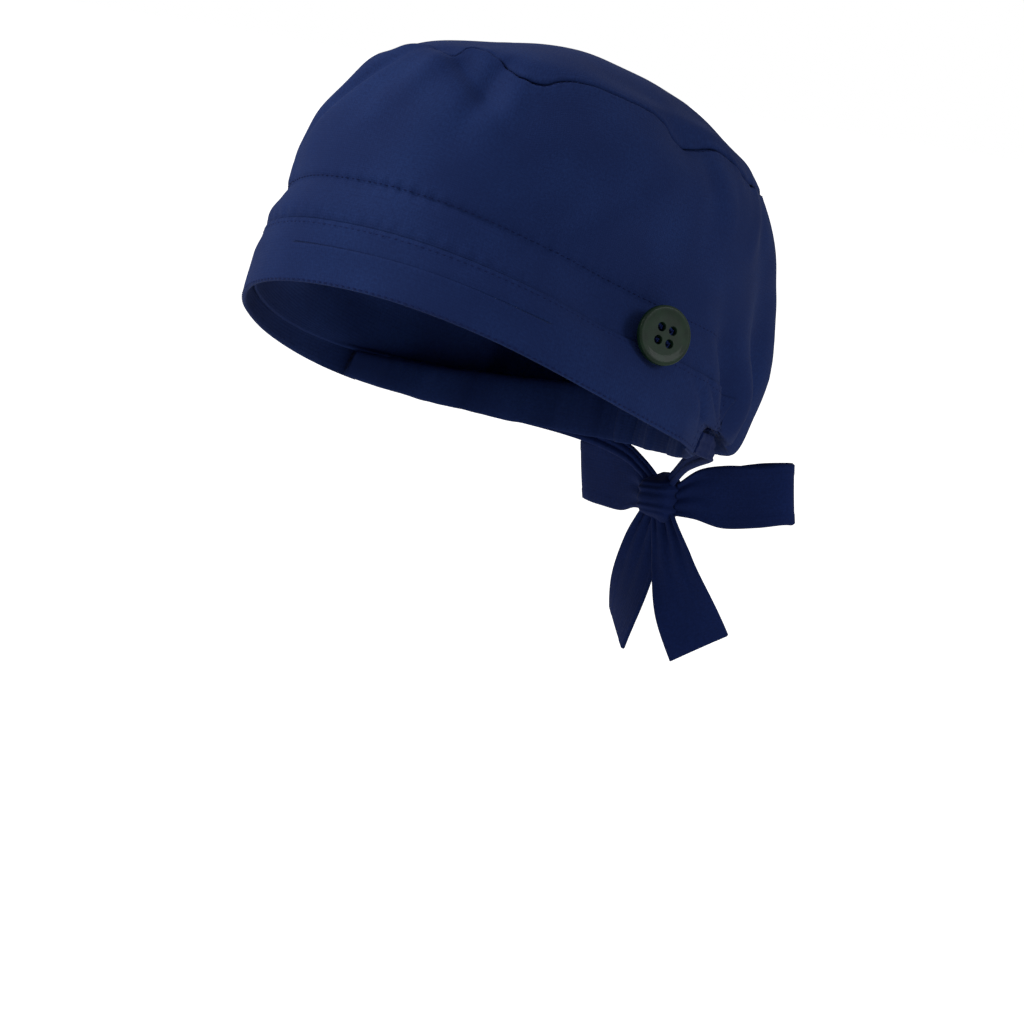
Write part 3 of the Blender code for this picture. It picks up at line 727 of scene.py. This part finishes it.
def top_panel():
    """The top panel, as two faces that meet in a rounded edge at the seam, and the seam allowance inside."""
    seam = LEVEL["seam"]
    levels = np.concatenate([seam + SEAM_GAP + np.array([0.0, 0.01, 0.03, 0.07, 0.12]),
                             np.linspace(7.2, 9.9, 44)])
    angle, level = np.meshgrid(all_round(TOP_COLUMNS), levels)
    thick = np.maximum(CLOTH_THICKNESS * smooth_step((level - seam) / 0.1), 0.0002)
    level = level + (seam_level(angle) - seam) * (1.0 - smooth_step((level - seam) / 1.8))
    inside = offset_from(fine_crown, angle, level, -thick)
    grid = np.concatenate([inside[::-1], fine_crown(angle, level)])
    piece = mesh_piece("crown_top_cloth", grid, CLOTH, closed_round=True, pole=True)
    close_first_row(piece, TOP_COLUMNS)
    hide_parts("crown_top")
    folded_cloth("top_seam_allowance", seam_form, all_round(SIDE_COLUMNS),
                 ease_ends(6.76, 7.20, 10, CLOTH_THICKNESS),
                 -CLOTH_THICKNESS * 0.75, -CLOTH_THICKNESS * 1.75, closed_round=True)


def front_band():
    """The front band, from above one ear round the forehead to the other."""
    angles = np.linspace(-BAND_END_ANGLE, BAND_END_ANGLE, BAND_COLUMNS)
    levels = ease_ends(LEVEL["rim"], LEVEL["band_top"], 46, BAND_THICKNESS)
    piece = folded_cloth("band_cloth", band_form, angles, levels, LAYER_GAP + BAND_THICKNESS, LAYER_GAP,
                         ease=band_ease)
    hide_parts("band")


def nape_casing():
    """The casing that the gathers are sewn into, from one end of the band round the nape to the other."""
    angles = np.linspace(CASING_START_ANGLE, 360.0 - CASING_START_ANGLE, CASING_COLUMNS)
    levels = ease_ends(LEVEL["rim"], LEVEL["gather"] - CASING_GAP, 16, CASING_THICKNESS)
    piece = folded_cloth("nape_casing_cloth", fine_crown, angles, levels, 0.0, -CASING_THICKNESS)
    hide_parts("nape_casing")


def crown_stitch_rows():
    """The stitch rows along the band, the tuck, the top seam and the casing, and across the band's ends."""
    along_band = np.linspace(-BAND_END_ANGLE + 1.5, BAND_END_ANGLE - 1.5, 900)
    band_stitches("band_edge_stitches", along_band, np.full(along_band.shape, 0.20))
    band_stitches("band_top_stitches", along_band, np.full(along_band.shape, BAND_TOP_STITCH_LEVEL))
    crown_stitches("tuck_stitches", -96, 96, 4.07)
    crown_stitches("top_seam_stitches", -180, 180, -0.06, beside_seam=True)
    crown_stitches("casing_top_stitches", 110, 250, 0.90)
    crown_stitches("casing_edge_stitches", 110, 250, 0.16)
    up_band = np.linspace(0.15, 2.85, 60)
    for side, word in ((1, "left"), (-1, "right")):
        for number, inset in (("one", 1.6), ("two", 4.6)):
            angles = np.full(up_band.shape, side * (BAND_END_ANGLE - inset))
            band_stitches(f"band_end_stitches_{number}_{word}", angles, up_band)


def close_first_row(piece, columns):
    """Closes the small hole within a piece's first row, inside the top panel's pole and under the knot."""
    shape = bmesh.new()
    shape.from_mesh(piece.data)
    shape.verts.ensure_lookup_table()
    shape.faces.new([shape.verts[k] for k in range(columns)][::-1])
    bmesh.ops.recalc_face_normals(shape, faces=shape.faces)
    shape.to_mesh(piece.data)
    shape.free()


def band_ease(angle, level):
    """The band's thickness as a share: full at its edge, thin where its top and its ends are sewn flat."""
    ends = 1.0 - 0.7 * smooth_step((np.abs(angle) - 86.0) / 18.0)
    return (0.30 + 0.70 * smooth_step((3.0 - level) / 1.1)) * ends


def band_form(angle, level):
    """The crown under the band, with a slow roll along it and puckers beside its upper stitch row."""
    turn = np.radians(np.asarray(angle, float))
    level = np.asarray(level, float)
    soft = BAND_PUCKER * bell(level, BAND_TOP_STITCH_LEVEL, 0.12) * np.cos(turn * 113 + 2 * np.sin(turn * 6))
    roll = -BAND_ROLL * bell(level, 1.2, 0.9) * np.sin(turn * 9 + 1)
    base = fine_crown(angle, level)
    return base + level_outward(base) * (soft + roll + BAND_CLEARANCE)[..., None]


def band_stitches(name, angles, levels):
    """A row of stitches on the band's face, through places given by angle and level."""
    places = offset_from(band_form, angles, levels, LAYER_GAP + BAND_THICKNESS * band_ease(angles, levels))
    stitch_row(name, places, outward(band_form, angles, levels))


def mirrored(points, side):
    """A copy for the wearer's right when side is -1."""
    return points * np.array([side, 1.0, 1.0])


def knot_centre():
    """The knot sits outside the casing, under the crown's overhang."""
    seat = plain_crown(KNOT_ANGLE, LEVEL["gather"])
    rim = smooth_crown(KNOT_ANGLE, LEVEL["rim"])
    direction = np.array([seat[0], seat[1], 0.0]) / math.hypot(seat[0], seat[1])
    centre = seat + direction * (KNOT_DEPTH / 2 + LAYER_GAP)
    centre[2] = rim[2] - KNOT_DROP
    return centre


def nape_line(angle):
    """Where a tie runs round the nape: level with the gathers, clear of the casing."""
    gather = smooth_crown(angle, LEVEL["gather"])
    away = level_outward(outward(smooth_crown, angle, np.full(angle.shape, LEVEL["rim"])))
    return gather + away * TIE_CLEARANCE


def tie(side):
    """One tie from the band's end to the knot, as a ribbon that bunches a little on its way."""
    centre = knot_centre()
    start_angle = BAND_END_ANGLE + math.degrees(TIE_END_GAP / HALF_WIDTH) - TIE_START_SHIFT
    trial = np.linspace(200.0, start_angle, 200)
    end_x = side * centre[0] + KNOT_WIDTH * 0.18
    end_angle = np.interp(end_x, nape_line(trial)[:, 0], trial)
    share = np.linspace(0.0, 1.0, TIE_COLUMNS)
    angle = start_angle + (end_angle - start_angle) * share
    width = TIE_WIDTH * (TIE_WIDTH_AT_BAND + (TIE_WIDTH_AT_KNOT - TIE_WIDTH_AT_BAND) * share**2)
    low = nape_line(angle)
    low[:, 2] = smooth_crown(angle, LEVEL["rim"])[:, 2] - TIE_DROP * share**TIE_DROP_POWER
    settle = smooth_step((share - 1.0 + TIE_RUN_SETTLING) / TIE_RUN_SETTLING)[:, None]
    low = low + settle * (0.0, centre[1] - low[-1, 1], 0.0)
    high = low + width[:, None] * (0.0, 0.0, 1.0)
    skin = np.full(angle.shape, LAYER_GAP + BAND_THICKNESS / 2)
    sewn = [mirrored(offset_from(plain_crown, side * angle, np.full(angle.shape, level), skin), side)
            for level in TIE_SEAM_LEVELS]
    free = smooth_step(share / TIE_RUN_SEWN)[:, None]
    low = sewn[0] + (low - sewn[0]) * free
    high = sewn[1] + (high - sewn[1]) * free

    def ripple(across):
        """Lengthwise pleats: a cosine across the ribbon that grows towards the knot."""
        wave = np.cos(across[:, None] * math.pi * 5) * (0.25 + 0.75 * share[None, :] ** 2)
        return TIE_PLEAT * wave[..., None] * level_outward(low)[None]

    grid, _, _ = strip_grid(low, high, 34, TIE_THICKNESS, 0.1, ripple)
    word = "left" if side > 0 else "right"
    piece = mesh_piece(f"tie_cloth_{word}", mirrored(grid, side), TIE_CLOTH,
                       closed_across=True, flip=side < 0)
    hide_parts(f"tie_{word}")


def ribbon(name, stations, reach, count, side, droop, setback, wave, node_name):
    """A ribbon through its stations: middle plus and minus half the width along the upright direction."""
    rows = np.array(stations, float)
    place = np.linspace(0.0, len(rows) - 1.0, count)
    read = dict(zip(STATION_COLUMNS, through_rows(rows, place).T))
    height = read["z"] - droop * read["x"] ** 2
    middle = np.stack([read["x"], read["y"] + setback, height], -1) * reach
    turn = np.radians(read["turn"])
    lean = np.radians(read["lean"])
    upright = np.stack([np.sin(lean) * np.cos(turn), np.sin(lean) * np.sin(turn), np.cos(lean)], -1)
    half = upright * (read["width"] * TIE_WIDTH / 2)[:, None]
    pinch = 1 - np.clip(read["width"], 0, 1)
    ahead = np.gradient(middle, axis=0)
    out = np.cross(ahead, upright)
    out = out / np.linalg.norm(out, axis=1, keepdims=True)

    def ripple(across):
        """Pleats where the ribbon is pinched, and a slow wave along its edges."""
        pleat = np.cos(across[:, None] * math.pi * 6 + 0.6) * pinch[None, :]
        edge = (across[:, None] - 0.5) * 2
        sway = wave * edge**2 * np.sin(place[None, :] * 2.3 + 0.7)
        return (RIBBON_PLEAT * pleat + sway)[..., None] * out[None]

    grid, flat, normal = strip_grid(middle - half, middle + half, RIBBON_ROWS, TIE_THICKNESS, 0.22, ripple)
    centre = knot_centre()
    piece = mesh_piece(name, mirrored(grid, side) + centre, TIE_CLOTH,
                       closed_across=True, flip=side < 0)
    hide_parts(node_name)
    in_sight = slice(3, -2)
    for number, share in (("low", 0.13), ("high", 0.87)):
        row = int(share * (RIBBON_ROWS - 1))
        places = mirrored(flat[row, in_sight], side) + centre
        away = mirrored(normal[row, in_sight], side)
        for face, sign in (("front", 1), ("back", -1)):
            stitch_row(f"{name}_stitches_{number}_{face}", places, away * sign, TIE_THICKNESS / 2 * 1.1)


def knot():
    """The knot: a wound pad, a superellipsoid with pleats that run round it and pull in at its middle."""
    centre = knot_centre()
    round_it, up_it = np.meshgrid(np.linspace(0, 2 * math.pi, 120, endpoint=False),
                                  np.linspace(-0.985, 0.985, 60))
    power = 0.62
    lift = np.sqrt(1 - up_it**2)
    pinched = lift**power
    pleat = 1 + 0.045 * np.cos(up_it * 17 + 0.8 * np.sin(round_it * 2)) * lift
    pull = 1 - 0.10 * np.exp(-((up_it / 0.3) ** 2))
    x = KNOT_WIDTH / 2 * signed_power(np.cos(round_it), power) * pinched * pleat * pull
    y = KNOT_DEPTH / 2 * signed_power(np.sin(round_it), power) * pinched * pleat
    z = KNOT_HEIGHT / 2 * signed_power(up_it, 0.8)
    slant = 0.0016 * np.sin(round_it + 0.5) * up_it
    grid = np.stack([x, y, z + slant], -1) + centre
    bottom = grid[:1].mean(axis=1, keepdims=True).repeat(grid.shape[1], axis=1)
    piece = mesh_piece("bow_knot_cloth", np.concatenate([bottom * 0.98 + grid[:1] * 0.02, grid]), TIE_CLOTH,
                       closed_round=True, pole=True)
    close_first_row(piece, grid.shape[1])
    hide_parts("bow_knot")


def button_frame(side):
    """Where a button sits: its seat on the cloth, its own axes and the way it faces."""
    angle = np.array(side * BUTTON_ANGLE)
    level = np.array(BUTTON_LEVEL)
    seat = Vector(plain_crown(angle, level))
    step = 0.5
    rise_step = 0.03
    round_it = plain_crown(angle + step, level) - plain_crown(angle - step, level)
    up_it = plain_crown(angle, level + rise_step) - plain_crown(angle, level - rise_step)
    normal = np.cross(round_it, up_it)
    heading = math.atan2(normal[1], side * normal[0]) - math.radians(BUTTON_TILT)
    level_facing = Vector((side * math.cos(heading), math.sin(heading), 0.0))
    rise = math.radians(BUTTON_RISE)
    facing = level_facing * math.cos(rise) + Vector((0.0, 0.0, math.sin(rise)))
    across = Vector((0.0, 0.0, 1.0)).cross(facing).normalized()
    axes = Matrix((across, facing.cross(across), facing)).transposed()
    return seat, axes, facing


def turned(name, profile, sides):
    """A mesh of a profile of radius and height turned about Z, both ends at radius 0."""
    turn = np.arange(sides) * 2 * math.pi / sides
    rings = [np.stack([radius * np.cos(turn), radius * np.sin(turn), np.full(sides, height)], -1)
             for radius, height in profile[1:-1]]
    points = np.stack(rings).reshape(-1, 3).tolist()
    first = len(points)
    points += [(0, 0, profile[0][1]), (0, 0, profile[-1][1])]
    faces = tube_faces(0, len(rings), sides, capped=False)
    last = (len(rings) - 1) * sides
    faces += [[(s + 1) % sides, s, first] for s in range(sides)]
    faces += [[last + s, last + (s + 1) % sides, first + 1] for s in range(sides)]
    mesh = bpy.data.meshes.new(name)
    mesh.from_pydata(points, [], faces)
    return mesh


def hole_places():
    """The four holes, on a square turned a little."""
    turn = math.radians(45.0 - BUTTON_TURN)
    radius = HOLE_SPACING / math.sqrt(2.0)
    angles = [turn + k * math.pi / 2 for k in range(4)]
    return [(radius * math.cos(angle), radius * math.sin(angle)) for angle in angles]


def finished(name, mesh, place, axes, material):
    """A mesh placed in the row frame, with its object left at the origin."""
    mesh.transform(Matrix.Translation(place) @ axes.to_4x4())
    mesh.materials.clear()
    return as_piece(name, mesh, material)


def button_profile():
    """Radius and height from the middle of the back, round the rolled edge, to the dished face."""
    radius = BUTTON_DIAMETER / 2
    half = BUTTON_THICKNESS / 2
    front_edge = [(radius - EDGE_ROLL + EDGE_ROLL * math.sin(t), half - EDGE_ROLL + EDGE_ROLL * math.cos(t))
                  for t in np.linspace(math.pi / 2, 0.0, 9)]
    back_edge = [(r, -h) for r, h in front_edge[::-1]]
    dished = half - DISH_DEPTH
    face = [(radius - 0.0019, half - 0.00005), (radius - 0.0026, half - 0.00018), (radius * 0.6, dished),
            (radius * 0.3, dished), (0.0, dished)]
    return [(0.0, -half), (radius * 0.4, -half), (radius * 0.8, -half), *back_edge, *front_edge, *face]


def hole_profile():
    """Radius and height of the tool that cuts a hole, flared at the face."""
    rim = HOLE_DIAMETER / 2
    half = BUTTON_THICKNESS / 2
    return [(0.0, -3 * half), (rim * 0.98, -3 * half), (rim * 0.98, half - 0.0007),
            (rim * 1.02, half - 0.0004), (rim * 1.08, half - 0.0002), (rim * 1.20, half + 0.0004),
            (0.0, half + 0.0004)]


def button(side):
    """A turned button with rounded edges and four bevelled holes, on thread wound into a shank."""
    word = "left" if side > 0 else "right"
    seat, axes, facing = button_frame(side)
    middle = seat + facing * (BUTTON_STANDOFF + BUTTON_THICKNESS / 2)
    body = bpy.data.objects.new("button_body", turned("button_body", button_profile(), 96))
    bpy.context.scene.collection.objects.link(body)
    cutters = []
    for x, y in hole_places():
        cutter = bpy.data.objects.new("hole", turned("hole", hole_profile(), 32))
        cutter.location = (x, y, 0.0)
        bpy.context.scene.collection.objects.link(cutter)
        cut = body.modifiers.new("hole", "BOOLEAN")
        cut.operation = "DIFFERENCE"
        cut.object = cutter
        cut.solver = "EXACT"
        cutters.append(cutter)
    bpy.context.view_layer.update()
    cut_mesh = bpy.data.meshes.new_from_object(body.evaluated_get(bpy.context.evaluated_depsgraph_get()))
    for item in (body, *cutters):
        bpy.data.objects.remove(item)
    disc = finished(f"button_body_{word}", cut_mesh, middle, axes, BUTTON)
    disc.data.set_sharp_from_angle(angle=math.radians(28))
    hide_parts(f"button_{word}")
    shank = wound_thread(f"button_thread_wound_{word}", seat, axes)
    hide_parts(f"button_thread_{word}")


def wound_thread(name, seat, axes):
    """Thread from the cloth up through the holes: three strands to each hole and a coil wound round them."""
    strands = []
    top = BUTTON_STANDOFF + BUTTON_THICKNESS * 0.72
    for x, y in hole_places():
        for right, up in STRAND_SHIFTS:
            strands.append([(x * 0.55 + right, y * 0.55 + up, -0.0002),
                            (x * 0.75 + right, y * 0.75 + up, BUTTON_STANDOFF * 0.6),
                            (x + right, y + up, BUTTON_STANDOFF),
                            (x + right, y + up, top)])
    steps = np.arange(COIL_TURNS * COIL_STEPS + 1)
    turn = steps / COIL_STEPS * 2 * math.pi
    reach = SHANK_DIAMETER * 0.36
    rise = 0.0008 + steps / (COIL_TURNS * COIL_STEPS) * (BUTTON_STANDOFF - 0.0022)
    strands.append(np.stack([reach * np.cos(turn), reach * np.sin(turn), rise], -1))
    points = []
    faces = []
    for strand in strands:
        line = np.array(strand)
        ahead = np.gradient(line, axis=0)
        ahead = ahead / np.linalg.norm(ahead, axis=1, keepdims=True)
        side = np.cross(ahead, (0.31, 0.17, 0.93))
        side = side / np.linalg.norm(side, axis=1, keepdims=True)
        faces += tube_faces(len(points), len(line), STRAND_SIDES)
        rings = rings_round(line, side, np.cross(ahead, side), STRAND_RADIUS, STRAND_SIDES)
        points += rings.reshape(-1, 3).tolist()
    mesh = bpy.data.meshes.new(name)
    mesh.from_pydata(points, [], faces)
    return finished(name, mesh, seat, axes, THREAD)


def area_light(name, place, aim, size, watts, colour):
    """A square area light that shines from a place towards a point."""
    data = bpy.data.lights.new(name, "AREA")
    data.shape = "SQUARE"
    data.size = size
    data.energy = watts
    data.color = linear(colour)[:3]
    lamp = bpy.data.objects.new(name, data)
    lamp.location = place
    lamp.rotation_euler = (Vector(aim) - Vector(place)).to_track_quat("-Z", "Y").to_euler()
    bpy.context.scene.collection.objects.link(lamp)


def seen_only(owner, socket, unseen, seen):
    """Gives a strength one value where it lights the cap and another where the camera sees it."""
    ray = node(owner, "ShaderNodeLightPath")
    strength = node(owner, "ShaderNodeMapRange", {"Value": ray.outputs["Is Camera Ray"]},
                    To_Min=unseen, To_Max=seen)
    owner.node_tree.links.new(strength.outputs["Result"], socket)


def stage():
    """A white floor well below the cap and a white sky, both bright to the camera. The cap gets part of the
    sky's light, and from the floor only what it reflects."""
    mesh = bpy.data.meshes.new("floor")
    corners = ((-1, -1), (1, -1), (1, 1), (-1, 1))
    places = [(x * FLOOR_REACH, y * FLOOR_REACH, FLOOR_HEIGHT) for x, y in corners]
    mesh.from_pydata(places, [], [[0, 1, 2, 3]])
    floor = bpy.data.objects.new("floor", mesh)
    bpy.context.scene.collection.objects.link(floor)
    material = bpy.data.materials.new("white_floor")
    material.use_nodes = True
    shader = material.node_tree.nodes["Principled BSDF"]
    shader.inputs["Base Color"].default_value = linear("#F4F4F4")
    shader.inputs["Roughness"].default_value = 0.95
    shader.inputs["Emission Color"].default_value = linear("#FFFFFF")
    seen_only(material, shader.inputs["Emission Strength"], 0.0, 0.9)
    mesh.materials.append(material)
    world = bpy.data.worlds.new("studio")
    bpy.context.scene.world = world
    world.use_nodes = True
    sky = world.node_tree.nodes["Background"]
    sky.inputs["Color"].default_value = linear("#FFFFFF")
    seen_only(world, sky.inputs["Strength"], 0.34, 1.0)
    for name, (place, aim, size, watts, colour) in LIGHTS.items():
        area_light(name, place, aim, size, watts, colour)


def camera():
    """The photo's camera: its place, roll and lens from the solved view."""
    azimuth = math.radians(CAMERA_AZIMUTH)
    elevation = math.radians(CAMERA_ELEVATION)
    roll = math.radians(CAMERA_ROLL)
    back = Vector((math.sin(azimuth) * math.cos(elevation), -math.cos(azimuth) * math.cos(elevation),
                   math.sin(elevation)))
    right = Vector((math.cos(azimuth), math.sin(azimuth), 0.0))
    up = back.cross(right)
    rolled_right = right * math.cos(roll) + up * math.sin(roll)
    rolled_up = up * math.cos(roll) - right * math.sin(roll)
    centre = PICTURE_PIXELS / 2
    shift_right = (centre - ORIGIN_PIXEL[0]) / PIXELS_PER_METRE
    shift_down = (centre - ORIGIN_PIXEL[1]) / PIXELS_PER_METRE
    target = rolled_right * shift_right - rolled_up * shift_down
    data = bpy.data.cameras.new("camera")
    data.sensor_width = SENSOR_MM
    data.lens = SENSOR_MM * PIXELS_PER_METRE * CAMERA_DISTANCE / PICTURE_PIXELS
    item = bpy.data.objects.new("camera", data)
    item.matrix_world = (Matrix.Translation(target + back * CAMERA_DISTANCE)
                         @ Matrix((rolled_right, rolled_up, back)).transposed().to_4x4())
    bpy.context.scene.collection.objects.link(item)
    bpy.context.scene.camera = item


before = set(bpy.data.objects)
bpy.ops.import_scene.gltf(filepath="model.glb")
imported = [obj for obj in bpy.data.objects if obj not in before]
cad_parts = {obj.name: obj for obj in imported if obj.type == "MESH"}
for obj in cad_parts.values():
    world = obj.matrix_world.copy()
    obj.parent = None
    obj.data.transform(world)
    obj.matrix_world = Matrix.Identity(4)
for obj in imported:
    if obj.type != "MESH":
        bpy.data.objects.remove(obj)
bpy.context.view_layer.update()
CLOTH = cloth_material("woven_navy_cotton_polyester", "#132452", "#192E60", 0.82)
TIE_CLOTH = cloth_material("woven_navy_tie_cloth", "#091A47", "#0F2255", 0.84)
THREAD = thread_material()
BUTTON = button_material()
side_panel()
top_panel()
front_band()
nape_casing()
crown_stitch_rows()
tie(1)
tie(-1)
knot()
ribbon("bow_loop_cloth_left", LOOP_STATIONS, LOOP_LENGTH, LOOP_COLUMNS, 1, 0.0, 0.0, 0.0003, "bow_loop_left")
ribbon("bow_loop_cloth_right", LOOP_STATIONS, LOOP_LENGTH, LOOP_COLUMNS, -1, RIGHT_LOOP_DROOP, 0.0, 0.0003,
       "bow_loop_right")
ribbon("bow_tail_cloth_left", TAIL_STATIONS, TAIL_LENGTH, TAIL_COLUMNS, 1, 0.0, 0.0, 0.0006, "bow_tail_left")
ribbon("bow_tail_cloth_right", TAIL_STATIONS, TAIL_LENGTH, TAIL_COLUMNS, -1, 0.0, RIGHT_TAIL_SETBACK, 0.0006,
       "bow_tail_right")
button(1)
button(-1)
stage()
camera()
look = bpy.context.scene.view_settings
look.view_transform = "Standard"
